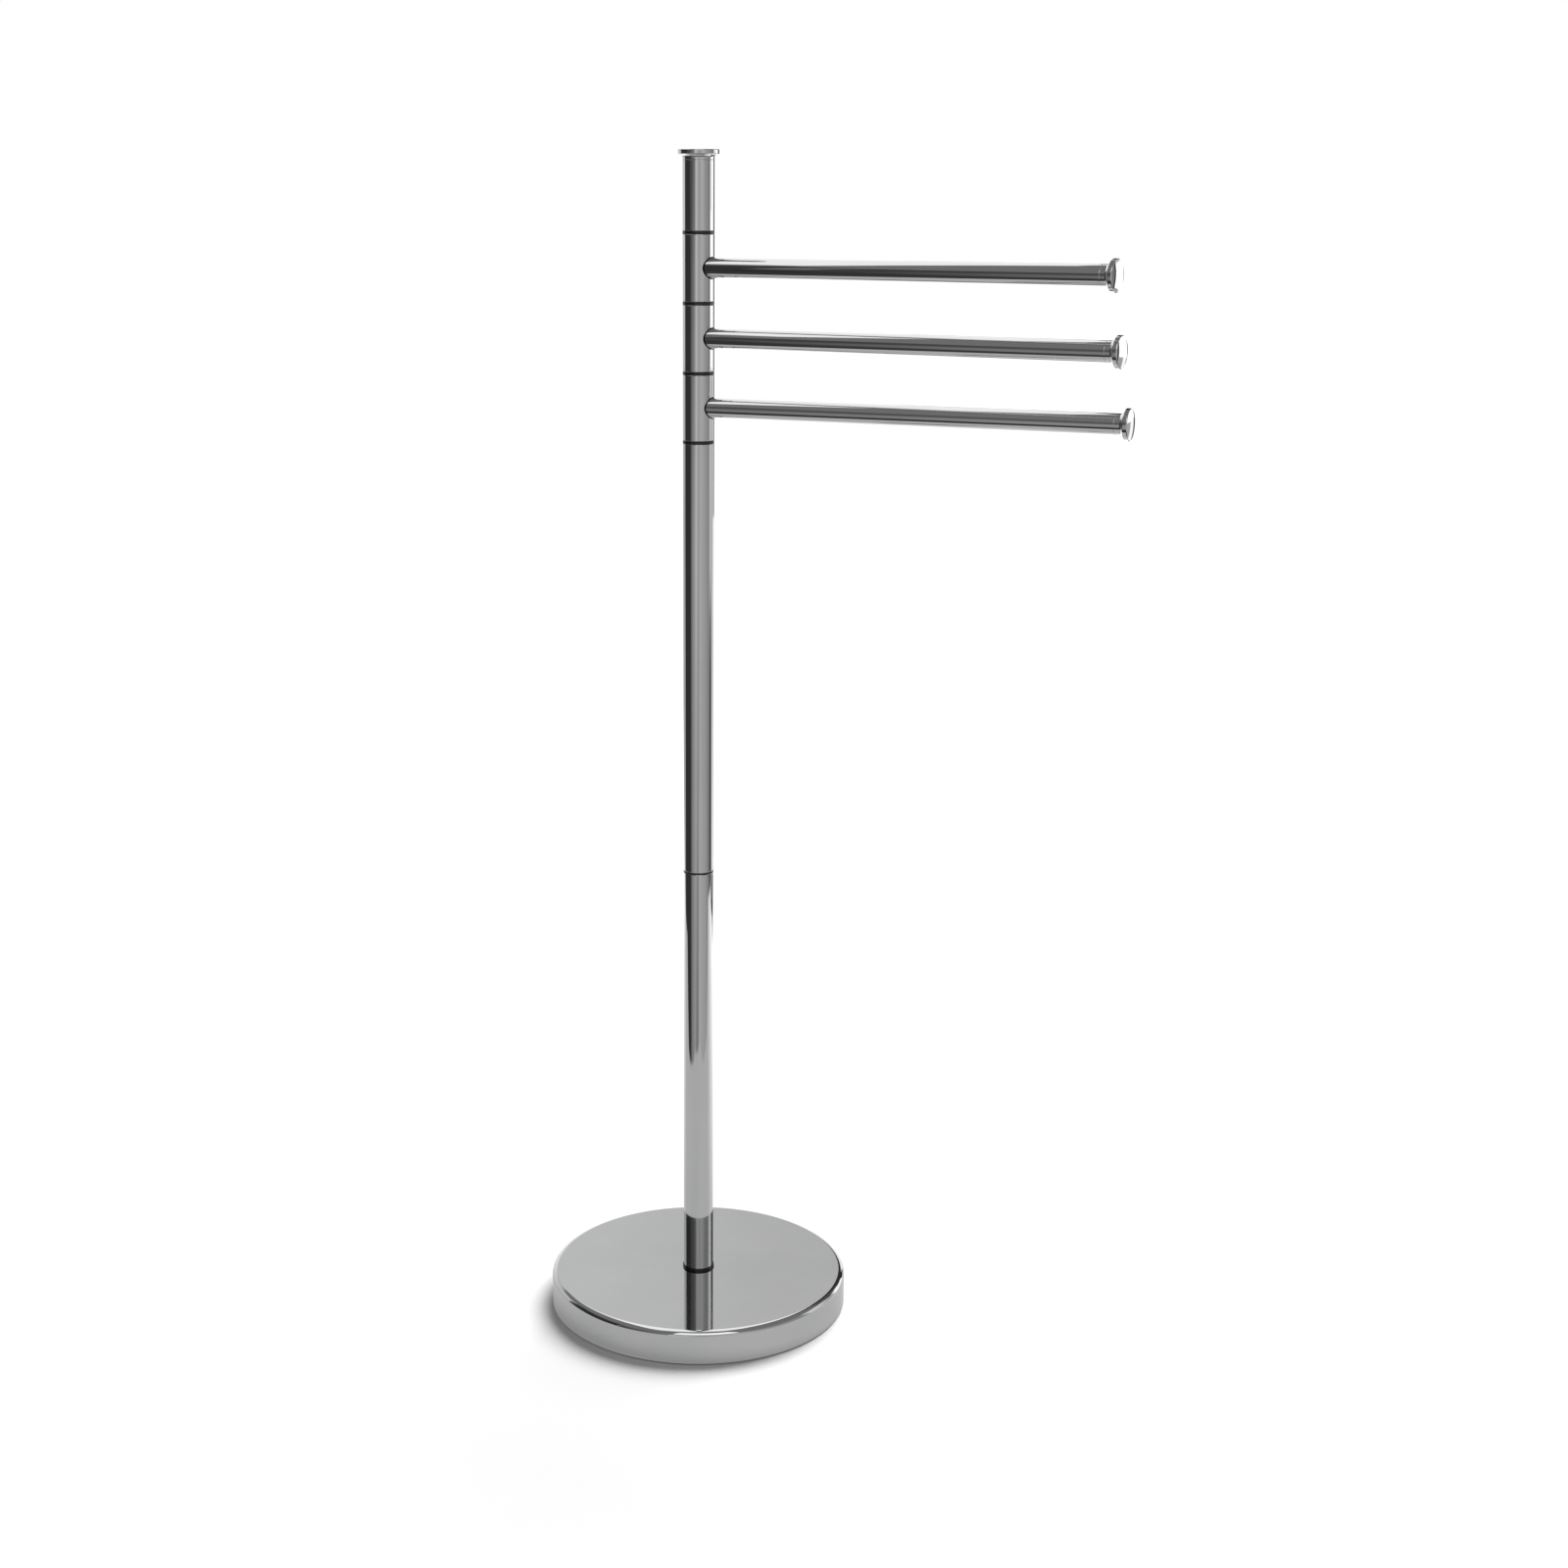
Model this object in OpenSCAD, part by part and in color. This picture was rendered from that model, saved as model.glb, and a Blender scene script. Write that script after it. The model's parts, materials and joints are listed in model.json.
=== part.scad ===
// Free-standing three-arm swivel stand: a round weighted base, a slim post of
// screwed-together tubes, and three straight arms that swivel on one spindle.
// Origin: centre of the underside, on the post's axis. +Z is up and +X is along the middle arm.

/* [Base] */
// Outer diameter of the base cover
base_d = 250; // [220:5:300]
// Height of the base's top above the floor
base_h = 29; // [26:1:36]
// Radius of the cover's rounded top edge
base_edge_r = 5; // [3:0.5:8]
// Sheet thickness of the base cover
cover_t = 1.2; // [0.8:0.1:2]
// Thickness of the pad under the base
pad_t = 2; // [1.5:0.5:3]
// Thickness of the cast weight's plate
weight_t = 12; // [8:1:14]

/* [Post] */
// Outer diameter of the post tubes and the hubs
post_d = 25; // [24:0.5:32]
// Wall thickness of the post tubes and the hubs
tube_t = 1; // [0.8:0.1:1.5]
// Length of each of the two long post tubes
tube_len = 350; // [250:5:450]
// Length of the short tube above the hubs
top_tube_len = 53.3; // [45:0.1:80]
// Thickness of the black washer between the base and the post
base_washer_t = 2; // [1:0.5:3]
// How far the base washer stands out past the post
base_washer_lip = 0.8; // [0:0.1:2]
// Thickness of the black washer between the two long tubes
joint_washer_t = 1.5; // [1:0.5:3]
// Thickness of the four black washers that the hubs turn between
swivel_washer_t = 2.4; // [1:0.1:3]
// Nominal diameter of the screw threads that join the post
thread_d = 10; // [8:1:10]

/* [Hubs] */
// Length of one swivel hub
hub_len = 51.2; // [48:0.2:80]
// Axial play between a hub and each washer
hub_play = 0.1; // [0.05:0.05:0.3]
// Diameter of the spindle that the hubs turn on
spindle_d = 12; // [11:0.5:14]
// Radial running clearance between the bushes and the spindle
bush_play = 0.05; // [0.02:0.01:0.1]
// Length of each plastic bush
bush_len = 12; // [8:1:14]

/* [Arms] */
// Outer diameter of the arm tubes
arm_d = 16; // [12:0.5:18]
// Wall thickness of the arm tubes
arm_t = 1; // [0.8:0.1:1.5]
// Reach of an arm, from the post's axis to the rim of its end cap
arm_len = 345; // [200:5:450]
// Angle of the top arm from the middle arm as stored
top_arm_angle = -2.4; // [-30:0.1:30]
// Angle of the bottom arm from the middle arm as stored
bottom_arm_angle = 4.5; // [-30:0.1:30]

/* [Caps] */
// Diameter of the cap on top of the post
top_cap_d = 32.2; // [30:0.2:40]
// Diameter of the caps on the arms
arm_cap_d = 24; // [22:0.5:30]
// Thickness of the straight rim of a cap
cap_rim_t = 4; // [2:0.1:5]
// Height of the dome of a cap above its rim
cap_dome = 1.2; // [0.6:0.1:3]

/* [Hidden] */
$fn = 96;

CHROME = [0.78, 0.79, 0.80];
BLACK = [0.06, 0.06, 0.06];
IRON = [0.22, 0.22, 0.23];
STEEL = [0.62, 0.63, 0.64];
NYLON = [0.90, 0.89, 0.85];

// Small overshoot of a cutting shape past the face that it cuts
over = 0.5;
// Radial gap between parts that are pressed, brazed or screwed together
seat_gap = 0.05;
post_r = post_d / 2;
post_bore_r = post_r - tube_t;
thread_r = thread_d / 2;
bolt_hole_r = thread_r + 0.5;

// Base
base_r = base_d / 2;
cover_lift = pad_t / 2;
cover_bore_r = base_r - cover_t;
weight_gap = 1.3;
weight_r = cover_bore_r - weight_gap;
weight_chamfer = 2;
pad_inset = 5;
pad_r = weight_r - pad_inset;
boss_r = 35;
support_share = 0.84;
support_r = support_share * base_r;
support_w = 7;
recess_r = 17;
recess_h = 9;
bolt_head_h = 6.4;
bolt_head_r = 9.8;
bolt_washer_r = 15;
bolt_washer_t = 2;
bolt_reach = 22;
// How far the bolt's shank runs down into its head
shank_root = 1;

// Heights of the post's pieces, from the floor up
plug_len = 25;
stud_reach = 24;
lower_z = base_h + base_washer_t;
joint_z = lower_z + tube_len;
upper_z = joint_z + joint_washer_t;
hubs_z = upper_z + tube_len;
hub_pitch = swivel_washer_t + hub_len + 2 * hub_play;
top_z = hubs_z + 3 * hub_pitch + swivel_washer_t;
cap_z = top_z + top_tube_len;
// Radial gap between a swivel washer and the spindle
spindle_gap = 0.2;

// Caps
spigot_len = 12;
spigot_t = 2;
// How far a cap's rim stands out past its neck
rim_lip = 1;
// Radius on the two edges of a cap's rim
rim_edge = 0.8;
top_flare_h = 4;
arm_flare_h = 6.8;
arm_tube_end = arm_len - cap_rim_t / 2 - arm_flare_h;

// Height of the lower end of hub 0 (bottom), 1 (middle) or 2 (top)
function hub_bottom(i) = hubs_z + swivel_washer_t + hub_play + i * hub_pitch;
// Angle of that hub's arm from the middle arm as stored
function arm_angle(i) = [bottom_arm_angle, 0, top_arm_angle][i];

// A ring round the Z axis with its underside at z
module ring(z, h, r_out, r_in) {
    translate([0, 0, z])
        difference() {
            cylinder(h = h, r = r_out);
            translate([0, 0, -over]) cylinder(h = h + 2 * over, r = r_in);
        }
}

// A round bar on the Z axis with a chamfer at each end
module bar(z, h, r, chamfer = 0.8) {
    translate([0, 0, z]) {
        cylinder(h = chamfer, r1 = r - chamfer, r2 = r);
        translate([0, 0, chamfer]) cylinder(h = h - 2 * chamfer, r = r);
        translate([0, 0, h - chamfer]) cylinder(h = chamfer, r1 = r, r2 = r - chamfer);
    }
}

// A black washer of the post, which stands out past the tubes by lip
module post_washer(z, h, r_in, lip = 0) {
    color(BLACK) ring(z, h, post_r + lip, r_in);
}

// A steel plug that is pressed into the end of a post tube and drilled for the thread
module tube_plug(z) {
    color(STEEL) ring(z, plug_len, post_bore_r - seat_gap, thread_r + seat_gap);
}

// Half section of a lid with a rounded top edge: radius r, top at height h, open below z
module lid_section(r, h, edge, z) {
    translate([0, z]) square([r, h - edge - z]);
    translate([0, z]) square([r - edge, h - z]);
    translate([r - edge, h - edge]) circle(r = edge);
}

// Half section of a cap: hollow spigot below 0, then a concave flare, a rim and a low dome
module cap_section(tube_r, bore_r, flare_h, rim_r) {
    spigot_r = bore_r - seat_gap;
    neck_r = rim_r - rim_lip;
    dome_z = flare_h + cap_rim_t;
    dome_foot_r = rim_r - rim_edge;
    dome_r = (dome_foot_r * dome_foot_r + cap_dome * cap_dome) / (2 * cap_dome);
    flare_w = neck_r - tube_r;
    flare_step = flare_h - flare_w;
    translate([spigot_r - spigot_t, -spigot_len]) square([spigot_t, spigot_len + over]);
    // Neck with a quarter-round hollow under the rim
    difference() {
        square([neck_r, flare_h]);
        translate([neck_r, flare_step]) circle(r = flare_w);
        translate([tube_r, -over]) square([flare_w + over, flare_step + over]);
    }
    // Straight rim with two rounded edges
    translate([0, flare_h]) square([dome_foot_r, cap_rim_t]);
    translate([0, flare_h + rim_edge]) square([rim_r, cap_rim_t - 2 * rim_edge]);
    for (z = [flare_h + rim_edge, flare_h + cap_rim_t - rim_edge])
        translate([dome_foot_r, z]) circle(r = rim_edge);
    // Dome
    intersection() {
        translate([0, dome_z + cap_dome - dome_r]) circle(r = dome_r);
        translate([0, dome_z - over]) square([dome_foot_r, cap_dome + 2 * over]);
    }
}

module base_pad() {
    color(BLACK) cylinder(h = pad_t, r = pad_r);
}

// Cast disc with a boss under the post, a support ring under the cover and a recess for the bolt
module base_weight() {
    inside_h = base_h - cover_t;
    color(IRON)
        difference() {
            union() {
                translate([0, 0, pad_t]) cylinder(h = weight_t - weight_chamfer, r = weight_r);
                translate([0, 0, pad_t + weight_t - weight_chamfer])
                    cylinder(h = weight_chamfer, r1 = weight_r, r2 = weight_r - weight_chamfer);
                translate([0, 0, pad_t + over]) cylinder(h = inside_h - pad_t - over, r = boss_r);
                ring(pad_t + over, inside_h - pad_t - over, support_r, support_r - support_w);
            }
            translate([0, 0, pad_t - over]) cylinder(h = recess_h + over, r = recess_r);
            cylinder(h = base_h, r = bolt_hole_r);
        }
}

module base_cover() {
    color(CHROME)
        difference() {
            rotate_extrude()
                difference() {
                    lid_section(base_r, base_h, base_edge_r, cover_lift);
                    lid_section(cover_bore_r, base_h - cover_t, base_edge_r - cover_t, cover_lift - over);
                }
            cylinder(h = base_h + over, r = bolt_hole_r);
        }
}

module base_bolt() {
    head_top = pad_t + recess_h - bolt_washer_t;
    color(STEEL) {
        translate([0, 0, head_top - bolt_head_h]) cylinder(h = bolt_head_h, r = bolt_head_r, $fn = 6);
        bar(head_top - shank_root, lower_z + bolt_reach - head_top + shank_root, thread_r);
    }
}

module base_bolt_washer() {
    color(STEEL) ring(pad_t + recess_h - bolt_washer_t, bolt_washer_t, bolt_washer_r, bolt_hole_r);
}

// One of the post's tubes
module post_tube(z, h) {
    color(CHROME) ring(z, h, post_r, post_bore_r);
}

module joint_stud() {
    color(STEEL) bar(joint_z - stud_reach, 2 * stud_reach + joint_washer_t, thread_r);
}

// Smooth journal between two threaded ends; its shoulders sit on the plugs below and above the hubs
module spindle() {
    color(STEEL) {
        bar(hubs_z - stud_reach, top_z - hubs_z + 2 * stud_reach, thread_r);
        translate([0, 0, hubs_z]) cylinder(h = top_z - hubs_z, r = spindle_d / 2);
    }
}

module top_cap() {
    color(CHROME)
        translate([0, 0, cap_z])
            rotate_extrude() cap_section(post_r, post_bore_r, top_flare_h, top_cap_d / 2);
}

// Short tube that swivels, with a side hole that the arm is brazed into
module hub(i) {
    color(CHROME)
        rotate([0, 0, arm_angle(i)])
            difference() {
                ring(hub_bottom(i), hub_len, post_r, post_bore_r);
                translate([0, 0, hub_bottom(i) + hub_len / 2])
                    rotate([0, 90, 0]) cylinder(h = post_d, r = arm_d / 2 + seat_gap);
            }
}

module hub_bush(i, side) {
    z = hub_bottom(i) + side * (hub_len - bush_len);
    color(NYLON) ring(z, bush_len, post_bore_r - seat_gap, spindle_d / 2 + bush_play);
}

// Arm tube, saddle-cut at its root so that it ends flush with the hub's inner wall
module arm_tube(i) {
    color(CHROME)
        rotate([0, 0, arm_angle(i)])
            translate([0, 0, hub_bottom(i) + hub_len / 2])
                difference() {
                    rotate([0, 90, 0]) ring(0, arm_tube_end, arm_d / 2, arm_d / 2 - arm_t);
                    translate([0, 0, -arm_d]) cylinder(h = 2 * arm_d, r = post_bore_r);
                }
}

module arm_cap(i) {
    color(CHROME)
        rotate([0, 0, arm_angle(i)])
            translate([arm_tube_end, 0, hub_bottom(i) + hub_len / 2])
                rotate([0, 90, 0])
                    rotate_extrude() cap_section(arm_d / 2, arm_d / 2 - arm_t, arm_flare_h, arm_cap_d / 2);
}

base_pad();
base_weight();
base_cover();
base_bolt();
base_bolt_washer();
post_washer(base_h, base_washer_t, bolt_hole_r, base_washer_lip);  // base_washer
post_tube(lower_z, tube_len);  // lower_tube
tube_plug(lower_z);  // lower_tube_foot_plug
tube_plug(joint_z - plug_len);  // lower_tube_head_plug
joint_stud();
post_washer(joint_z, joint_washer_t, bolt_hole_r);  // joint_washer
post_tube(upper_z, tube_len);  // upper_tube
tube_plug(upper_z);  // upper_tube_foot_plug
tube_plug(hubs_z - plug_len);  // upper_tube_head_plug
spindle();
for (i = [0:3])
    post_washer(hubs_z + i * hub_pitch, swivel_washer_t, spindle_d / 2 + spindle_gap);
post_tube(top_z, top_tube_len);  // top_tube
tube_plug(top_z);  // top_tube_plug
top_cap();
for (i = [0:2]) {
    arm = ["bottom", "middle", "top"][i];
    hub(i);
    hub_bush(i, 0);
    hub_bush(i, 1);
    arm_tube(i);
    arm_cap(i);
}
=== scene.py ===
"""Studio picture of a free-standing three-arm swivel stand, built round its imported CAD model."""
import json
import math

import bpy
from mathutils import Matrix, Vector


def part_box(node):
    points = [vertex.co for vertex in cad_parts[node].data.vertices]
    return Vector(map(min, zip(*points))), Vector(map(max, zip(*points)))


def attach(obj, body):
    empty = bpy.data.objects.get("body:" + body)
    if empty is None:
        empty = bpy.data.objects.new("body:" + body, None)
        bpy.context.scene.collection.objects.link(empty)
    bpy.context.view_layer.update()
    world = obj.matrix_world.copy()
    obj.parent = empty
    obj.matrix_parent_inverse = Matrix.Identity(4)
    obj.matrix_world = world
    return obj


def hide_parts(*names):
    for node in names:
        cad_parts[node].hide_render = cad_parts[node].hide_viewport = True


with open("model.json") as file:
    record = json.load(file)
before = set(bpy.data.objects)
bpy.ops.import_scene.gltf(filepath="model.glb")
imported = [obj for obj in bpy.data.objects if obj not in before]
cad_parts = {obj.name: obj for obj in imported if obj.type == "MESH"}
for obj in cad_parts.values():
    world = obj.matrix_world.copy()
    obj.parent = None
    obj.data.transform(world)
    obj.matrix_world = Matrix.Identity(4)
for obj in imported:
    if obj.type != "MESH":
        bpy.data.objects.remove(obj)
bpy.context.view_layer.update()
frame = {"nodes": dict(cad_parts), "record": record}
nodes = frame["nodes"]
ARMS = ("bottom", "middle", "top")

MM = 0.001
TUBE_WALL = 1.0 * MM
TUBE_EDGE = 0.4 * MM
SMALL_EDGE = 0.12 * MM
ARC_STEPS = 8
# Segments round the base, the post and the arms
BASE_SEGMENTS, POST_SEGMENTS, ARM_SEGMENTS = 320, 192, 128


# ---------------------------------------------------------------- outlines
# An outline is a closed run of (radius, height, normal radius, normal height), so that flat
# faces stay optically flat and rounded edges stay round, however long their neighbours are.

def corner_arc(prev, here, after, radius, steps=ARC_STEPS):
    """The rounded corner at `here` of a closed outline that has its solid on the left."""
    a, p, b = Vector(prev), Vector(here), Vector(after)
    u, v = (a - p).normalized(), (b - p).normalized()
    half = u.angle(v) / 2
    reach = radius / math.tan(half)
    centre = p + (u + v).normalized() * (radius / math.sin(half))
    start, end = p + u * reach - centre, p + v * reach - centre
    convex = u.x * v.y - u.y * v.x < 0
    turn = start.angle_signed(end)
    points = []
    for k in range(steps + 1):
        # angle_signed is clockwise positive, so the arc turns by its negative
        spoke = Matrix.Rotation(-turn * k / steps, 2) @ start
        normal = spoke.normalized() * (1 if convex else -1)
        points.append((*(centre + spoke), *normal))
    return points


def rounded(corners):
    """Closed outline from corners (radius, height, edge radius, and the arc's steps if they are
    not the usual ones), listed with the solid on the left."""
    outline = []
    for i, (r, z, *edge) in enumerate(corners):
        before, after = corners[i - 1], corners[(i + 1) % len(corners)]
        outline += corner_arc(before[:2], (r, z), after[:2], *edge)
    return outline


def arc(centre, radius, start_deg, end_deg, steps, outward=True):
    """Points of an outline along a circular arc. outward=False turns the normals to its centre."""
    points = []
    for k in range(steps + 1):
        t = math.radians(start_deg + (end_deg - start_deg) * k / steps)
        n = Vector((math.cos(t), math.sin(t)))
        p = Vector(centre) + n * radius
        points.append((*p, *(n if outward else -n)))
    return points


# ---------------------------------------------------------------- meshes
def make_mesh(name, verts, faces, normals):
    """Smooth mesh whose shading follows the given vertex normals."""
    mesh = bpy.data.meshes.new(name)
    mesh.from_pydata([tuple(v) for v in verts], [], faces)
    mesh.validate(clean_customdata=False)
    mesh.shade_smooth()
    mesh.normals_split_custom_set_from_vertices([Vector(n).normalized() for n in normals])
    obj = bpy.data.objects.new(name, mesh)
    bpy.context.scene.collection.objects.link(obj)
    return obj


def lathe(name, outline, segments=POST_SEGMENTS, on_axis=False):
    """Solid of revolution about Z. With on_axis the outline's two ends lie on the axis."""
    verts, normals, faces = [], [], []
    rows = outline[1:-1] if on_axis else outline
    for k in range(segments):
        c, s = math.cos(2 * math.pi * k / segments), math.sin(2 * math.pi * k / segments)
        for r, z, nr, nz in rows:
            verts.append((r * c, r * s, z))
            normals.append((nr * c, nr * s, nz))
    n = len(rows)
    spans = n - 1 if on_axis else n
    for k in range(segments):
        a, b = k * n, ((k + 1) % segments) * n
        for j in range(spans):
            i = (j + 1) % n
            faces.append((a + j, b + j, b + i, a + i))
    if on_axis:
        for end, row in ((outline[0], 0), (outline[-1], n - 1)):
            pole = len(verts)
            verts.append((0, 0, end[1]))
            normals.append((0, 0, math.copysign(1, end[3])))
            for k in range(segments):
                a, b = k * n + row, ((k + 1) % segments) * n + row
                faces.append((pole, b, a) if row == 0 else (pole, a, b))
    return make_mesh(name, verts, faces, normals)


def tube_outline(r_out, r_in, z0, z1, edge=TUBE_EDGE):
    return rounded([(r_out, z0, edge), (r_out, z1, edge), (r_in, z1, SMALL_EDGE), (r_in, z0, SMALL_EDGE)])


def sleeve_with_hole(name, r_out, r_in, half_len, hole_r):
    """A short tube about the origin with a round hole along +X in its wall. Each wall is a
    regular grid, with a patch round the hole whose rings grow from a circle to a rectangle."""
    columns, end_rows = 144, 8
    half_h, patch_cols, patch_rows, rings = 13 * MM, 24, 26, 12
    step = 2 * math.pi / columns
    edge = TUBE_EDGE
    verts, normals, faces = [], [], []

    def skin(radius, out, lower, upper):
        """One wall of the sleeve. Returns its bottom ring, top ring and hole ring of indices."""
        rows = [lower + (-half_h - lower) * k / end_rows for k in range(end_rows)]
        rows += [-half_h + 2 * half_h * k / patch_rows for k in range(patch_rows)]
        rows += [half_h + (upper - half_h) * k / end_rows for k in range(end_rows + 1)]
        grid = {}

        def point(angle, z):
            verts.append((radius * math.cos(angle), radius * math.sin(angle), z))
            normals.append((out * math.cos(angle), out * math.sin(angle), 0))
            return len(verts) - 1

        first, last = end_rows, end_rows + patch_rows
        for i, z in enumerate(rows):
            for j in range(columns):
                wide = min(j, columns - j)
                if first < i < last and wide < patch_cols:
                    continue
                grid[i, j] = point(j * step, z)
        for i in range(len(rows) - 1):
            for j in range(columns):
                quad = [grid.get(key) for key in ((i, j), (i, (j + 1) % columns),
                                                  (i + 1, (j + 1) % columns), (i + 1, j))]
                inside = first <= i < last and (j < patch_cols or j >= columns - patch_cols)
                if not inside:
                    faces.append(quad if out > 0 else quad[::-1])
        # The patch's border, counter-clockwise seen from +X
        border = [(first, j) for j in range(-patch_cols, patch_cols)]
        border += [(i, patch_cols) for i in range(first, last)]
        border += [(last, j) for j in range(patch_cols, -patch_cols, -1)]
        border += [(i, -patch_cols) for i in range(last, first, -1)]
        outer = [grid[i, j % columns] for i, j in border]
        previous = outer
        for ring in range(1, rings + 1):
            t = ring / rings
            here = []
            for i, j in border:
                angle, z = j * step, rows[i]
                way = math.atan2(z, angle * r_out)
                hole_angle = math.asin(hole_r * math.cos(way) / radius)
                hole_h = hole_r * math.sin(way)
                here.append(point(angle + (hole_angle - angle) * t, z + (hole_h - z) * t))
            for k in range(len(border)):
                m = (k + 1) % len(border)
                quad = [previous[k], previous[m], here[m], here[k]]
                faces.append(quad if out > 0 else quad[::-1])
            previous = here
        bottom = [grid[0, j] for j in range(columns)]
        top = [grid[len(rows) - 1, j] for j in range(columns)]
        return bottom, top, previous

    low_out, up_out, hole_out = skin(r_out, 1, edge - half_len, half_len - edge)
    low_in, up_in, hole_in = skin(r_in, -1, edge - half_len, half_len - edge)
    count = len(hole_out)
    for k in range(count):
        m = (k + 1) % count
        faces.append([hole_out[k], hole_out[m], hole_in[m], hole_in[k]])

    def rim(outer, inner, z, up):
        """Rounded end face that joins the two walls."""
        profile = []
        for k in range(1, ARC_STEPS + 1):
            t = math.pi / 2 * k / ARC_STEPS
            profile.append((r_out - edge + edge * math.cos(t), z + up * (edge * math.sin(t) - edge),
                            math.cos(t), up * math.sin(t)))
        for k in range(ARC_STEPS):
            t = math.pi / 2 * (1 - k / ARC_STEPS)
            profile.append((r_in + edge - edge * math.cos(t), z + up * (edge * math.sin(t) - edge),
                            -math.cos(t), up * math.sin(t)))
        previous = outer
        for r, h, nr, nz in profile:
            here = []
            for j in range(columns):
                c, s = math.cos(j * step), math.sin(j * step)
                verts.append((r * c, r * s, h))
                normals.append((nr * c, nr * s, nz))
                here.append(len(verts) - 1)
            stitch(previous, here, up)
            previous = here
        stitch(previous, inner, up)

    def stitch(a, b, up):
        for j in range(columns):
            m = (j + 1) % columns
            quad = [a[j], a[m], b[m], b[j]]
            faces.append(quad if up > 0 else quad[::-1])

    rim(up_out, up_in, half_len, 1)
    rim(low_out, low_in, -half_len, -1)
    return make_mesh(name, verts, faces, normals)


def saddle_tube(name, r_out, r_in, post_r, x_end):
    """A tube along +X, saddle-cut at its root to sit against a round post of radius post_r."""
    along = 40
    edge = TUBE_EDGE
    verts, normals, faces = [], [], []

    def ring(radius, place, normal):
        """One ring of vertices, at x = place(y), with normals turned by (along X, outward)."""
        row = []
        for k in range(ARM_SEGMENTS):
            t = 2 * math.pi * k / ARM_SEGMENTS
            y, z = math.sin(t), math.cos(t)
            verts.append((place(radius * y), radius * y, radius * z))
            nx, nr = normal
            normals.append((nx, nr * y, nr * z))
            row.append(len(verts) - 1)
        return row

    def root(y):
        return math.sqrt(post_r ** 2 - y ** 2)

    # Outer wall, rounded end and inner wall, back to the saddle
    rows = []
    for k in range(along + 1):
        share = k / along
        rows.append(ring(r_out, lambda y, s=share: root(y) + (x_end - edge - root(y)) * s, (0, 1)))
    for k in range(1, ARC_STEPS + 1):
        t = math.pi / 2 * k / ARC_STEPS
        rows.append(ring(r_out - edge + edge * math.cos(t),
                         lambda y, x=x_end - edge + edge * math.sin(t): x, (math.sin(t), math.cos(t))))
    for k in range(ARC_STEPS):
        t = math.pi / 2 * (1 - k / ARC_STEPS)
        rows.append(ring(r_in + edge - edge * math.cos(t),
                         lambda y, x=x_end - edge + edge * math.sin(t): x, (math.sin(t), -math.cos(t))))
    for k in range(along + 1):
        share = 1 - k / along
        rows.append(ring(r_in, lambda y, s=share: root(y) + (x_end - edge - root(y)) * s, (0, -1)))
    rows.append(rows[0])
    for a, b in zip(rows, rows[1:]):
        for k in range(ARM_SEGMENTS):
            m = (k + 1) % ARM_SEGMENTS
            faces.append([b[k], b[m], a[m], a[k]])
    return make_mesh(name, verts, faces, normals)


def braze_fillet(name, arm_r, post_r, size):
    """The small hollow fillet of braze where a round arm along +X meets the round hub. Its
    section is a curve from the arm to the hub, and three points sunk into them behind it."""
    sink = 0.3 * MM
    verts, normals, faces = [], [], []

    def on_hub(radius, y):
        return math.sqrt(post_r ** 2 - (radius * y) ** 2)

    for k in range(ARM_SEGMENTS):
        t = 2 * math.pi * k / ARM_SEGMENTS
        y, z = math.sin(t), math.cos(t)
        meet = Vector((on_hub(arm_r, y), arm_r * y, arm_r * z))
        on_arm = meet + Vector((size, 0, 0))
        wide = arm_r + size
        foot = Vector((on_hub(wide, y), wide * y, wide * z))
        radial = Vector((0, y, z))
        hub_normal = Vector((foot.x, foot.y, 0)).normalized()
        for j in range(ARC_STEPS + 1):
            s = j / ARC_STEPS
            verts.append(on_arm * (1 - s) ** 2 + meet * 2 * s * (1 - s) + foot * s ** 2)
            normals.append(radial.lerp(hub_normal, s))
        verts.append(foot - hub_normal * sink)
        normals.append(hub_normal)
        verts.append(meet - radial * sink - Vector((sink, 0, 0)))
        normals.append(-radial)
        verts.append(on_arm - radial * sink)
        normals.append(radial)
    n = ARC_STEPS + 4
    for k in range(ARM_SEGMENTS):
        a, b = k * n, ((k + 1) % ARM_SEGMENTS) * n
        for j in range(n):
            i = (j + 1) % n
            faces.append((a + j, a + i, b + i, b + j))
    return make_mesh(name, verts, faces, normals)


# ---------------------------------------------------------------- materials
def node_tree(name):
    material = bpy.data.materials.new(name)
    material.use_nodes = True
    tree = material.node_tree
    shader = tree.nodes["Principled BSDF"]
    return material, tree, shader


def add(tree, kind, **properties):
    node = tree.nodes.new(kind)
    for key, value in properties.items():
        setattr(node, key, value)
    return node


def mapped(tree, scale):
    """Object coordinates in metres, multiplied by scale along each axis."""
    place = add(tree, "ShaderNodeTexCoord")
    mapping = add(tree, "ShaderNodeMapping")
    mapping.inputs["Scale"].default_value = scale
    tree.links.new(place.outputs["Object"], mapping.inputs["Vector"])
    return mapping.outputs["Vector"]


def noise(tree, vector, scale, detail=4.0, roughness=0.5):
    texture = add(tree, "ShaderNodeTexNoise")
    texture.inputs["Scale"].default_value = scale
    texture.inputs["Detail"].default_value = detail
    texture.inputs["Roughness"].default_value = roughness
    tree.links.new(vector, texture.inputs["Vector"])
    return texture.outputs["Fac"]


def remap(tree, value, low, high, to_low, to_high):
    node = add(tree, "ShaderNodeMapRange")
    for key, number in (("From Min", low), ("From Max", high), ("To Min", to_low), ("To Max", to_high)):
        node.inputs[key].default_value = number
    tree.links.new(value, node.inputs["Value"])
    return node.outputs["Result"]


def colour_between(tree, value, dark, light):
    ramp = add(tree, "ShaderNodeValToRGB")
    ramp.color_ramp.elements[0].color = (*dark, 1)
    ramp.color_ramp.elements[1].color = (*light, 1)
    tree.links.new(value, ramp.inputs["Fac"])
    return ramp.outputs["Color"]


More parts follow.
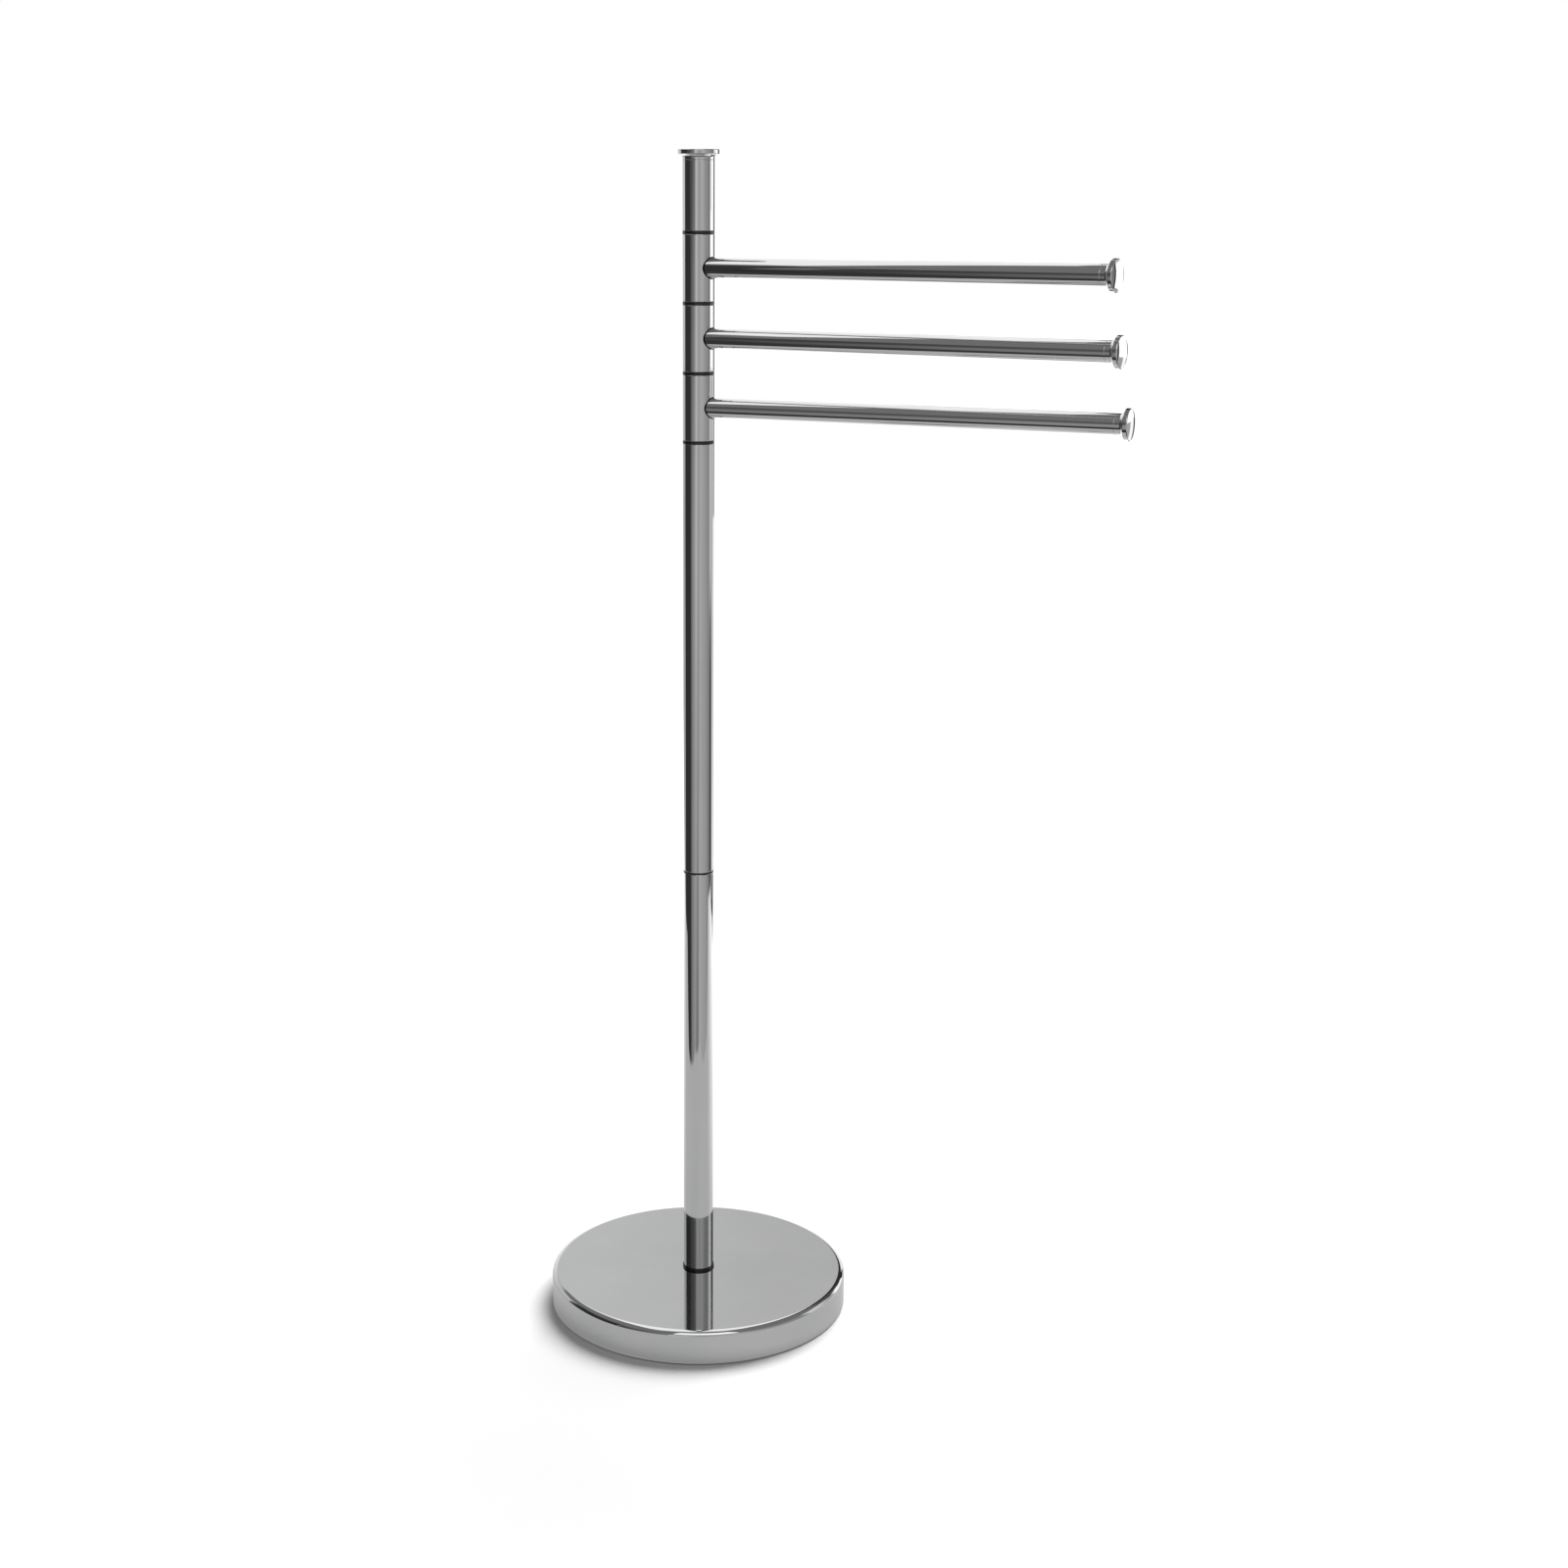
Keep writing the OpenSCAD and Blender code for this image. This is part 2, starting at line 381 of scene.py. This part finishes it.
def bump(tree, shader, heights, distance, strength=1.0):
    """Chains a bump node for each (height, share of the distance)."""
    previous = None
    for height, share in heights:
        node = add(tree, "ShaderNodeBump")
        node.inputs["Strength"].default_value = strength
        node.inputs["Distance"].default_value = distance * share
        tree.links.new(height, node.inputs["Height"])
        if previous:
            tree.links.new(previous, node.inputs["Normal"])
        previous = node.outputs["Normal"]
    tree.links.new(previous, shader.inputs["Normal"])


def chrome(name, streak, streak_depth):
    """Bright chrome plate. streak gives noise frequencies along X, Y and Z for the drawn tube's
    faint lengthwise ripple; haze and fingerprints come from the roughness."""
    material, tree, shader = node_tree(name)
    shader.inputs["Metallic"].default_value = 1.0
    shader.inputs["Specular Tint"].default_value = (1, 1, 1, 1)
    even = mapped(tree, (1, 1, 1))
    haze = noise(tree, even, 14.0, 5.0, 0.6)
    smudge = noise(tree, even, 95.0, 6.0, 0.7)
    grain = noise(tree, even, 2600.0, 2.0)
    ripple = noise(tree, mapped(tree, streak), 1.0, 3.0, 0.55)
    tint = colour_between(tree, haze, (0.60, 0.605, 0.61), (0.69, 0.69, 0.69))
    tree.links.new(tint, shader.inputs["Base Color"])
    both = add(tree, "ShaderNodeMath", operation="MULTIPLY")
    tree.links.new(haze, both.inputs[0])
    tree.links.new(smudge, both.inputs[1])
    rough = remap(tree, both.outputs[0], 0.12, 0.5, 0.03, 0.085)
    tree.links.new(rough, shader.inputs["Roughness"])
    bump(tree, shader, [(ripple, 1.0), (grain, 0.004)], streak_depth)
    return material


def black_plastic():
    material, tree, shader = node_tree("washer_black")
    even = mapped(tree, (1, 1, 1))
    mottle = noise(tree, even, 220.0, 4.0)
    tree.links.new(colour_between(tree, mottle, (0.006, 0.006, 0.006), (0.016, 0.016, 0.017)),
                   shader.inputs["Base Color"])
    tree.links.new(remap(tree, mottle, 0.3, 0.7, 0.12, 0.22), shader.inputs["Roughness"])
    bump(tree, shader, [(noise(tree, even, 3200.0, 2.0), 1.0)], 0.00001, 0.5)
    return material


def foam():
    material, tree, shader = node_tree("pad_foam")
    even = mapped(tree, (1, 1, 1))
    cells = add(tree, "ShaderNodeTexVoronoi")
    cells.inputs["Scale"].default_value = 1400.0
    tree.links.new(even, cells.inputs["Vector"])
    tree.links.new(colour_between(tree, noise(tree, even, 60.0), (0.012, 0.012, 0.012), (0.03, 0.03, 0.03)),
                   shader.inputs["Base Color"])
    tree.links.new(remap(tree, cells.outputs["Distance"], 0.0, 0.8, 0.95, 0.75), shader.inputs["Roughness"])
    bump(tree, shader, [(cells.outputs["Distance"], 1.0)], 0.0003, 0.7)
    return material


def cast_iron():
    material, tree, shader = node_tree("weight_cast")
    even = mapped(tree, (1, 1, 1))
    skin = noise(tree, even, 380.0, 8.0, 0.65)
    patches = noise(tree, even, 30.0, 4.0)
    tree.links.new(colour_between(tree, patches, (0.035, 0.035, 0.037), (0.085, 0.083, 0.08)),
                   shader.inputs["Base Color"])
    shader.inputs["Metallic"].default_value = 0.35
    tree.links.new(remap(tree, skin, 0.3, 0.7, 0.5, 0.8), shader.inputs["Roughness"])
    bump(tree, shader, [(skin, 1.0)], 0.0006, 0.8)
    return material


def zinc_steel():
    material, tree, shader = node_tree("steel_zinc")
    shader.inputs["Metallic"].default_value = 1.0
    shader.inputs["Anisotropic"].default_value = 0.5
    even = mapped(tree, (1, 1, 1))
    turned = noise(tree, mapped(tree, (150, 150, 5200)), 1.0, 3.0)
    blotch = noise(tree, even, 90.0, 4.0)
    tree.links.new(colour_between(tree, blotch, (0.40, 0.41, 0.42), (0.56, 0.56, 0.55)),
                   shader.inputs["Base Color"])
    tree.links.new(remap(tree, turned, 0.3, 0.7, 0.24, 0.42), shader.inputs["Roughness"])
    bump(tree, shader, [(turned, 1.0)], 0.00003, 0.6)
    return material


def nylon():
    material, tree, shader = node_tree("bush_nylon")
    even = mapped(tree, (1, 1, 1))
    cloud = noise(tree, even, 120.0, 4.0)
    tree.links.new(colour_between(tree, cloud, (0.70, 0.68, 0.61), (0.82, 0.80, 0.73)),
                   shader.inputs["Base Color"])
    shader.inputs["Subsurface Weight"].default_value = 0.15
    shader.inputs["Subsurface Scale"].default_value = 0.002
    tree.links.new(remap(tree, cloud, 0.3, 0.7, 0.38, 0.5), shader.inputs["Roughness"])
    bump(tree, shader, [(noise(tree, even, 1800.0, 2.0), 1.0)], 0.00003, 0.5)
    return material


post_chrome = chrome("chrome_post", (420, 420, 3.0), 0.000005)
arm_chrome = chrome("chrome_arm", (3.0, 420, 420), 0.000002)
base_chrome = chrome("chrome_base", (22, 22, 22), 0.00002)
cap_chrome = chrome("chrome_cap", (60, 60, 60), 0.000006)
FINISHES = {
    "black_washer": black_plastic(),
    "pad": foam(),
    "cast_weight": cast_iron(),
    "plain_steel": zinc_steel(),
    "nylon": nylon(),
    "chrome": post_chrome,
}
slot_of = {s["node"]: s["material_slot"] for s in frame["record"]["subparts"]}
body_of = {n: b for b, names in frame["record"]["behaviour"]["bodies"].items() for n in names}
for node_name, node in nodes.items():
    node.data.materials.clear()
    node.data.materials.append(FINISHES[slot_of[node_name]])


# ---------------------------------------------------------------- pieces
def stand_for(piece, node_name, material):
    """The piece is the finished form of that CAD node: same body, and the given material; the node is hidden.
    """
    piece.data.materials.append(material)
    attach(piece, body_of[node_name])
    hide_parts(node_name)


def radius_of(node_name):
    low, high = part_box(node_name)
    return (high.y - low.y) / 2


post_r = radius_of("lower_tube")
post_bore_r = post_r - TUBE_WALL

for node_name in ("lower_tube", "upper_tube", "top_tube"):
    low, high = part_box(node_name)
    outline = tube_outline(post_r, post_bore_r, low.z, high.z)
    stand_for(lathe(node_name + "_plated", outline), node_name, post_chrome)

WASHER_EDGE = 0.3 * MM
BOLT_HOLE_R = 5.5 * MM
JOURNAL_HOLE_R = 6.2 * MM
washers = {"base_washer": BOLT_HOLE_R, "joint_washer": BOLT_HOLE_R}
washers.update({f"swivel_washer_{k}": JOURNAL_HOLE_R for k in range(1, 5)})
for node_name, hole_r in washers.items():
    low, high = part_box(node_name)
    outline = tube_outline(radius_of(node_name), hole_r, low.z, high.z, WASHER_EDGE)
    stand_for(lathe(node_name + "_moulded", outline), node_name, FINISHES["black_washer"])

# Base cover: pressed shell with a rounded shoulder
COVER_WALL = 1.2 * MM
COVER_FOOT_EDGE = 0.5 * MM
SHOULDER_R = 5.0 * MM
low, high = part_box("base_cover")
cover_r = radius_of("base_cover")
inside_r, inside_top = cover_r - COVER_WALL, high.z - COVER_WALL
outline = rounded([
    (cover_r, low.z, COVER_FOOT_EDGE), (cover_r, high.z, SHOULDER_R, 48),
    (BOLT_HOLE_R, high.z, SMALL_EDGE), (BOLT_HOLE_R, inside_top, SMALL_EDGE),
    (inside_r, inside_top, SHOULDER_R - COVER_WALL, 24), (inside_r, low.z, COVER_FOOT_EDGE)])
stand_for(lathe("base_cover_plated", outline, BASE_SEGMENTS), "base_cover", base_chrome)

# Pad: die-cut foam, a little softer at its lower edge
PAD_LOWER_EDGE, PAD_UPPER_EDGE = 0.4 * MM, 0.3 * MM
PAD_SEGMENTS = 256
low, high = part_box("base_pad")
pad_r = radius_of("base_pad")
outline = [(0, low.z, 0, -1)]
outline += corner_arc((0, low.z), (pad_r, low.z), (pad_r, high.z), PAD_LOWER_EDGE)
outline += corner_arc((pad_r, low.z), (pad_r, high.z), (0, high.z), PAD_UPPER_EDGE)
outline += [(0, high.z, 0, 1)]
stand_for(lathe("base_pad_foam", outline, PAD_SEGMENTS, on_axis=True), "base_pad", FINISHES["pad"])

# Caps, measured from the tube's end that they close
SEAT_GAP = 0.05 * MM
SPIGOT_LEN, SPIGOT_WALL = 12 * MM, 2 * MM
SPIGOT_FLOOR = -0.2 * MM
TOP_FLARE, ARM_FLARE = 4.0 * MM, 6.8 * MM
RIM_T, RIM_LIP, RIM_EDGE = 4.0 * MM, 1.0 * MM, 0.8 * MM
cap_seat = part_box("top_tube")[1].z
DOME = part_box("top_cap")[1].z - cap_seat - TOP_FLARE - RIM_T


def cap_outline(tube_r, bore_r, rim_r, flare_h):
    """Flanged cap about Z: hollow spigot below 0, concave flare, straight rim, low dome."""
    spigot_r = bore_r - SEAT_GAP
    hollow_r = spigot_r - SPIGOT_WALL
    flare_r = rim_r - RIM_LIP - tube_r
    foot_r = rim_r - RIM_EDGE
    dome_z = flare_h + RIM_T
    dome_r = (foot_r ** 2 + DOME ** 2) / (2 * DOME)
    sweep = math.degrees(math.asin(foot_r / dome_r))
    path = [(0, SPIGOT_FLOOR), (hollow_r, SPIGOT_FLOOR), (hollow_r, -SPIGOT_LEN), (spigot_r, -SPIGOT_LEN),
            (spigot_r, 0), (tube_r, 0), (tube_r, flare_h)]
    edges = (0.3 * MM, 0.3 * MM, 0.6 * MM, 0.05 * MM, SMALL_EDGE)
    line = [(*path[0], 0, -1)]
    for before, here, after, edge in zip(path, path[1:], path[2:], edges):
        line += corner_arc(before, here, after, edge)
    # Flare, rim and dome. Their arcs stop a little short of each other, so no two points coincide
    line += arc((tube_r + flare_r, flare_h - flare_r), flare_r, 180, 96, 20, outward=False)
    line += arc((foot_r, flare_h + RIM_EDGE), RIM_EDGE, -88, 0, 8)
    line += arc((foot_r, dome_z - RIM_EDGE), RIM_EDGE, 0, 86, 8)
    line += arc((0, dome_z + DOME - dome_r), dome_r, 90 - sweep, 90, 24)
    return line


cap = lathe("top_cap_plated", cap_outline(post_r, post_bore_r, radius_of("top_cap"), TOP_FLARE), on_axis=True)
cap.location.z = cap_seat
stand_for(cap, "top_cap", cap_chrome)

# Arms: each is built along +X at the origin, then turned and lifted into place
BRAZE = 0.6 * MM
for arm in ARMS:
    hub_low, hub_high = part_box(arm + "_hub")
    tube_low, tube_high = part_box(arm + "_arm_tube")
    cap_low, cap_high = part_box(arm + "_arm_cap")
    arm_z = (hub_low.z + hub_high.z) / 2
    arm_r = (tube_high.z - tube_low.z) / 2
    cap_r = (cap_high.z - cap_low.z) / 2
    cap_mid = (cap_low + cap_high) / 2
    turn = math.atan2(cap_mid.y, cap_mid.x)
    place = Matrix.Translation((0, 0, arm_z)) @ Matrix.Rotation(turn, 4, "Z")
    half_hub = (hub_high.z - hub_low.z) / 2
    # The box of a turned cap does not give its reach, so the dome's tip is read from its mesh
    tip = max(v.co.xy.length for v in nodes[arm + "_arm_cap"].data.vertices if abs(v.co.z - arm_z) < MM)
    tube_end = tip - DOME - RIM_T - ARM_FLARE

    hub = sleeve_with_hole(arm + "_hub_plated", post_r, post_bore_r, half_hub, arm_r + SEAT_GAP)
    hub.matrix_world = place
    stand_for(hub, arm + "_hub", post_chrome)

    tube = saddle_tube(arm + "_arm_tube_plated", arm_r, arm_r - TUBE_WALL, post_bore_r, tube_end)
    tube.matrix_world = place
    stand_for(tube, arm + "_arm_tube", arm_chrome)

    fillet = braze_fillet(arm + "_arm_braze", arm_r, post_r, BRAZE)
    fillet.matrix_world = place
    fillet.data.materials.append(arm_chrome)
    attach(fillet, arm + "_arm")

    outline = cap_outline(arm_r, arm_r - TUBE_WALL, cap_r, ARM_FLARE)
    end_cap = lathe(arm + "_arm_cap_plated", outline, ARM_SEGMENTS, on_axis=True)
    end_cap.matrix_world = place @ Matrix.Translation((tube_end, 0, 0)) @ Matrix.Rotation(math.pi / 2, 4, "Y")
    stand_for(end_cap, arm + "_arm_cap", cap_chrome)


# ---------------------------------------------------------------- studio
# The studio is set out about the camera's azimuth: angles in it are measured from the
# direction of the camera as seen from the post, positive to the camera's right.
CAMERA_AZIMUTH = 29.5
CAMERA_DISTANCE = 1.887
CAMERA_HEIGHT = 0.924
CAMERA_PITCH = 13.6
CAMERA_LENS = 54.6
SHIFT = (0.0546, -0.0094)

scene = bpy.context.scene
scene.view_settings.view_transform = "Standard"
scene.view_settings.look = "None"

azimuth = math.radians(CAMERA_AZIMUTH)
camera_data = bpy.data.cameras.new("camera")
camera_data.sensor_width = 36
camera_data.lens = CAMERA_LENS
camera_data.shift_x, camera_data.shift_y = SHIFT
camera = bpy.data.objects.new("camera", camera_data)
scene.collection.objects.link(camera)
camera.location = (CAMERA_DISTANCE * math.sin(azimuth), -CAMERA_DISTANCE * math.cos(azimuth), CAMERA_HEIGHT)
camera.rotation_euler = (math.radians(90 - CAMERA_PITCH), 0, azimuth)
scene.camera = camera


def studio_way(bearing, elevation):
    """Unit vector from the post at a bearing from the camera (right positive) and an elevation."""
    b, e = math.radians(bearing) + azimuth, math.radians(elevation)
    return Vector((math.sin(b) * math.cos(e), -math.cos(b) * math.cos(e), math.sin(e)))


def card_glow():
    """One-way card: light as bright as its own radiance towards the stand, clear from behind."""
    material, tree, shader = node_tree("card_glow")
    tree.nodes.remove(shader)
    radiance = add(tree, "ShaderNodeAttribute", attribute_name="radiance")
    geometry = add(tree, "ShaderNodeNewGeometry")
    emission = add(tree, "ShaderNodeEmission")
    tree.links.new(radiance.outputs["Fac"], emission.inputs["Strength"])
    one_way = add(tree, "ShaderNodeMixShader")
    tree.links.new(geometry.outputs["Backfacing"], one_way.inputs["Fac"])
    tree.links.new(emission.outputs[0], one_way.inputs[1])
    tree.links.new(add(tree, "ShaderNodeBsdfTransparent").outputs[0], one_way.inputs[2])
    tree.links.new(one_way.outputs[0], tree.nodes["Material Output"].inputs["Surface"])
    material.cycles.emission_sampling = "NONE"
    return material


def reflected_only(obj):
    obj.visible_camera = False
    obj.visible_diffuse = False
    obj.visible_shadow = False
    obj.visible_transmission = False
    obj.visible_volume_scatter = False


# Studio cards that only reflections see. Each runs round the post through its stops: a stop is a
# bearing and the card's radiance there at each of its edges, which are (distance, height).
CARDS = {
    "front": (((4.4, -1.7), (4.4, 0.0), (4.4, 1.05), (4.4, 1.8), (4.4, 2.4)), [
        (-60, 0.04, 0.05, 0.05, 0.05, 0.05), (-50, 0.26, 0.24, 0.09, 0.10, 0.10),
        (-44, 0.28, 0.30, 0.12, 0.11, 0.11), (-34, 0.34, 0.42, 0.18, 0.12, 0.12),
        (-22, 0.40, 0.50, 0.30, 0.20, 0.20), (-21, 0.28, 0.70, 0.68, 0.25, 0.25),
        (-11, 0.18, 0.60, 0.66, 0.50, 0.50), (0, 0.13, 0.42, 0.52, 0.50, 0.50),
        (1, 0.50, 0.46, 0.42, 0.44, 0.44), (16, 0.53, 0.57, 0.52, 0.46, 0.46),
        (28, 0.48, 0.51, 0.60, 0.50, 0.50), (39, 0.47, 0.48, 0.50, 0.41, 0.41),
        (51, 0.47, 0.45, 0.40, 0.32, 0.32), (64, 0.40, 0.40, 0.38, 0.28, 0.28),
        (85, 0.20, 0.34, 0.31, 0.34, 0.34), (90, 0.16, 0.46, 0.55, 0.60, 0.60)]),
    "front_overhead": (((1.5, 2.7), (4.3, 2.6)), [(-20, 1.4, 1.4), (32, 1.4, 1.4)]),
    "right_softbox": (((3.2, -0.6), (3.2, -0.1), (3.2, 0.03), (3.2, 0.14), (3.2, 1.1), (3.2, 2.0)), [
        (90, 0.08, 0.10, 0.27, 0.75, 0.9, 0.9), (101, 0.08, 0.10, 0.27, 0.75, 0.9, 0.9),
        (113, 0.3, 0.3, 0.35, 0.45, 0.6, 0.9), (121, 0.5, 0.5, 0.5, 0.5, 0.5, 0.5),
        (125, 1.2, 1.2, 1.2, 1.0, 0.5, 0.3)]),
    "right_shelf_near": (((1.0, 0.72), (1.7, 0.90)), [(98, 1.6, 1.6), (130, 1.6, 1.6)]),
    "right_shelf_far": (((1.7, 0.90), (3.0, 1.22)), [(105, 1.6, 1.6), (138, 1.6, 1.6)]),
    "right_shade": (((3.0, 1.23), (3.0, 2.6)), [(122, 0.03, 0.03), (138, 0.03, 0.03)]),
    "right_flag": (((1.7, 0.45), (1.7, 2.6)), [
        (134, 0.3, 0.3), (139, 0.3, 0.3), (140, 0.04, 0.04), (170, 0.04, 0.04)]),
    "low_flag": (((1.2, 0.0), (1.2, 0.55)), [(139, 0.03, 0.03), (147, 0.03, 0.03)]),
    "cap_flag": (((0.68, 0.72), (0.68, 0.93), (0.68, 1.05)), [
        (79, 0.25, 0.25, 0.06), (85, 0.25, 0.25, 0.06), (86, 0.05, 0.05, 0.05), (88.5, 0.05, 0.05, 0.05)]),
    "back_wall": (((4.8, -1.0), (4.8, 1.8), (4.8, 2.0), (4.8, 3.0)), [
        (125, 1.4, 1.4, 0.62, 0.62), (168, 1.1, 1.1, 0.62, 0.62), (177, 1.1, 1.1, 0.62, 0.62),
        (184, 1.1, 1.1, 0.72, 0.72), (192, 1.1, 1.1, 0.72, 0.72), (210, 0.9, 0.9, 0.6, 0.6)]),
    "left_back": (((4.4, -1.2), (4.4, 0.1), (4.4, 0.85), (4.4, 2.4)), [
        (-150, 0.8, 0.8, 0.9, 0.6), (-130, 0.55, 0.45, 0.8, 0.5), (-108, 0.5, 0.42, 0.8, 0.5)]),
    "left_flag": (((4.2, -1.6), (4.2, 3.1)), [(-112, 0.04, 0.04), (-62, 0.04, 0.04)]),
}
CARD_STEP = 6  # widest quad of a card, in degrees
HUBS = Vector((0, 0, CAMERA_HEIGHT))
glow = card_glow()


def glow_sheet(name, verts, faces, radiance):
    """A sheet that glows towards the hubs, with a radiance for each vertex. The first three
    vertices of the first face say which way it faces, so they have to make a convex corner."""
    a, b, c = (verts[k] for k in faces[0][:3])
    if (b - a).cross(c - a).dot(HUBS - a) < 0:
        faces = [face[::-1] for face in faces]
    mesh = bpy.data.meshes.new(name)
    mesh.from_pydata([tuple(v) for v in verts], [], faces)
    layer = mesh.attributes.new("radiance", "FLOAT", "POINT")
    layer.data.foreach_set("value", radiance)
    mesh.materials.append(glow)
    obj = bpy.data.objects.new(name, mesh)
    scene.collection.objects.link(obj)
    reflected_only(obj)


def card(name, edges, stops):
    """Builds one card as a smooth band of quads round the post."""
    columns = []
    for (bearing, *tones), (next_bearing, *next_tones) in zip(stops, stops[1:]):
        steps = math.ceil((next_bearing - bearing) / CARD_STEP)
        for k in range(steps):
            share = k / steps
            columns.append((bearing + (next_bearing - bearing) * share,
                            [a + (b - a) * share for a, b in zip(tones, next_tones)]))
    columns.append((stops[-1][0], stops[-1][1:]))
    verts, radiance, faces = [], [], []
    for bearing, tones in columns:
        for (distance, height), tone in zip(edges, tones):
            verts.append(studio_way(bearing, 0) * distance + Vector((0, 0, height)))
            radiance.append(tone)
    rows = len(edges)
    for i in range(len(columns) - 1):
        for j in range(rows - 1):
            a, b = i * rows + j, (i + 1) * rows + j
            faces.append((a, b, b + 1, a + 1))
    glow_sheet(name, verts, faces, radiance)


for card_name, (card_edges, card_stops) in CARDS.items():
    card(card_name, card_edges, card_stops)

# The softbox over the arms, behind them and to the left: (to the right, towards the camera)
OVERHEAD_Z, OVERHEAD_RADIANCE = 1.25, 1.25
OVERHEAD = [(-0.38, 0.22), (0.18, 0.0), (0.30, -0.2), (0.45, -1.0), (0.45, -2.0), (-0.45, -2.0),
            (-0.45, 0.1)]
right_way, toward = studio_way(90, 0), studio_way(0, 0)
glow_sheet("overhead_softbox", [right_way * x + toward * y + Vector((0, 0, OVERHEAD_Z)) for x, y in OVERHEAD],
           [tuple(range(len(OVERHEAD)))], [OVERHEAD_RADIANCE] * len(OVERHEAD))


def plane(name, corners, z, material):
    """A level polygon."""
    mesh = bpy.data.meshes.new(name)
    mesh.from_pydata([(x, y, z) for x, y in corners], [], [tuple(range(len(corners)))])
    mesh.materials.append(material)
    obj = bpy.data.objects.new(name, mesh)
    scene.collection.objects.link(obj)
    return obj


def matt(name, grey):
    """A matt paint with a faint mottle."""
    material, tree, shader = node_tree(name)
    even = mapped(tree, (1, 1, 1))
    tree.links.new(colour_between(tree, noise(tree, even, 3.0), (grey * 0.99,) * 3, (grey,) * 3),
                   shader.inputs["Base Color"])
    shader.inputs["Roughness"].default_value = 1.0
    shader.inputs["Specular IOR Level"].default_value = 0.0
    return material, tree, shader


FLOOR_HALF = 30.0
FLOOR_ALBEDO = 0.9
floor_corners = [(x * FLOOR_HALF, y * FLOOR_HALF) for x, y in ((-1, -1), (1, -1), (1, 1), (-1, 1))]
floor = plane("floor", floor_corners, 0, matt("floor_pale", FLOOR_ALBEDO)[0])
floor.visible_glossy = False

# The table top that only reflections see: its left and front edges are near the stand, its corners
# are cut off, and a painted glow (emission on dark matt paint) brightens it away from the camera and to the
# right
TABLE = [(-0.60, 0.15), (-0.62, 0.12), (-1.05, -0.04), (-1.10, -2.2), (0.60, -2.2), (0.60, -0.76),
         (0.90, -0.66), (1.25, -0.25), (1.20, 0.26), (0.62, 0.28), (0.30, 0.52), (0.10, 0.66), (-0.25, 0.58),
         (-0.45, 0.38)]
TABLE_LIFT = 0.0001
TABLE_ALBEDO = 0.20
TABLE_GLOW = 0.35
TABLE_GLOW_RIGHT = 0.3
TABLE_GLOW_BACK = 1.1
table_corners = [(right_way * x + toward * y).xy for x, y in TABLE]
table_paint, tree, shader = matt("table_painted_glow", TABLE_ALBEDO)
# Painted light: the table's emission glow grows along this gradient, away from the camera and to the right
painted_glow_rise = add(tree, "ShaderNodeVectorMath", operation="DOT_PRODUCT")
tree.links.new(mapped(tree, (1, 1, 1)), painted_glow_rise.inputs[0])
painted_glow_rise.inputs[1].default_value = right_way * TABLE_GLOW_RIGHT - toward * TABLE_GLOW_BACK
tree.links.new(remap(tree, painted_glow_rise.outputs["Value"], 0.0, 1.0, TABLE_GLOW, 1.0 + TABLE_GLOW),
               shader.inputs["Emission Strength"])
shader.inputs["Emission Color"].default_value = (1, 1, 1, 1)
table_paint.cycles.emission_sampling = "NONE"
reflected_only(plane("table_top", table_corners, TABLE_LIFT, table_paint))

# One large soft light, high at the back right, which sets the shadow at the front left
SUN_ENERGY, SUN_SIZE = 4.1, 42
SUN_BEARING, SUN_ELEVATION = 148, 52
sun_data = bpy.data.lights.new("overhead_soft_light", "SUN")
sun_data.energy = SUN_ENERGY
sun_data.angle = math.radians(SUN_SIZE)
sun = bpy.data.objects.new("overhead_soft_light", sun_data)
scene.collection.objects.link(sun)
sun.rotation_euler = studio_way(SUN_BEARING, SUN_ELEVATION).to_track_quat("Z", "Y").to_euler()
sun.visible_glossy = False

# The surroundings: white to the camera, a soft fill for matt surfaces, and in reflections grey
# above the horizon and dark below it
FILL, REFLECTED_SKY, REFLECTED_GROUND = 0.2, 0.22, 0.05
HORIZON_BAND = 0.03
world = bpy.data.worlds.new("studio")
world.use_nodes = True
scene.world = world
tree = world.node_tree
background = tree.nodes["Background"]
background.inputs["Color"].default_value = (1, 1, 1, 1)
path = add(tree, "ShaderNodeLightPath")
way = add(tree, "ShaderNodeTexCoord")
split = add(tree, "ShaderNodeSeparateXYZ")
tree.links.new(way.outputs["Generated"], split.inputs[0])
reflected = remap(tree, split.outputs["Z"], -HORIZON_BAND, HORIZON_BAND, REFLECTED_GROUND, REFLECTED_SKY)


def choose(flag, otherwise, chosen):
    """Mix node that gives `chosen` where the light path's flag is set."""
    mix = add(tree, "ShaderNodeMix")
    tree.links.new(path.outputs[flag], mix.inputs["Factor"])
    for socket, value in (("A", otherwise), ("B", chosen)):
        if isinstance(value, float):
            mix.inputs[socket].default_value = value
        else:
            tree.links.new(value, mix.inputs[socket])
    return mix.outputs["Result"]


strength = choose("Is Camera Ray", choose("Is Glossy Ray", FILL, reflected), 1.0)
tree.links.new(strength, background.inputs["Strength"])
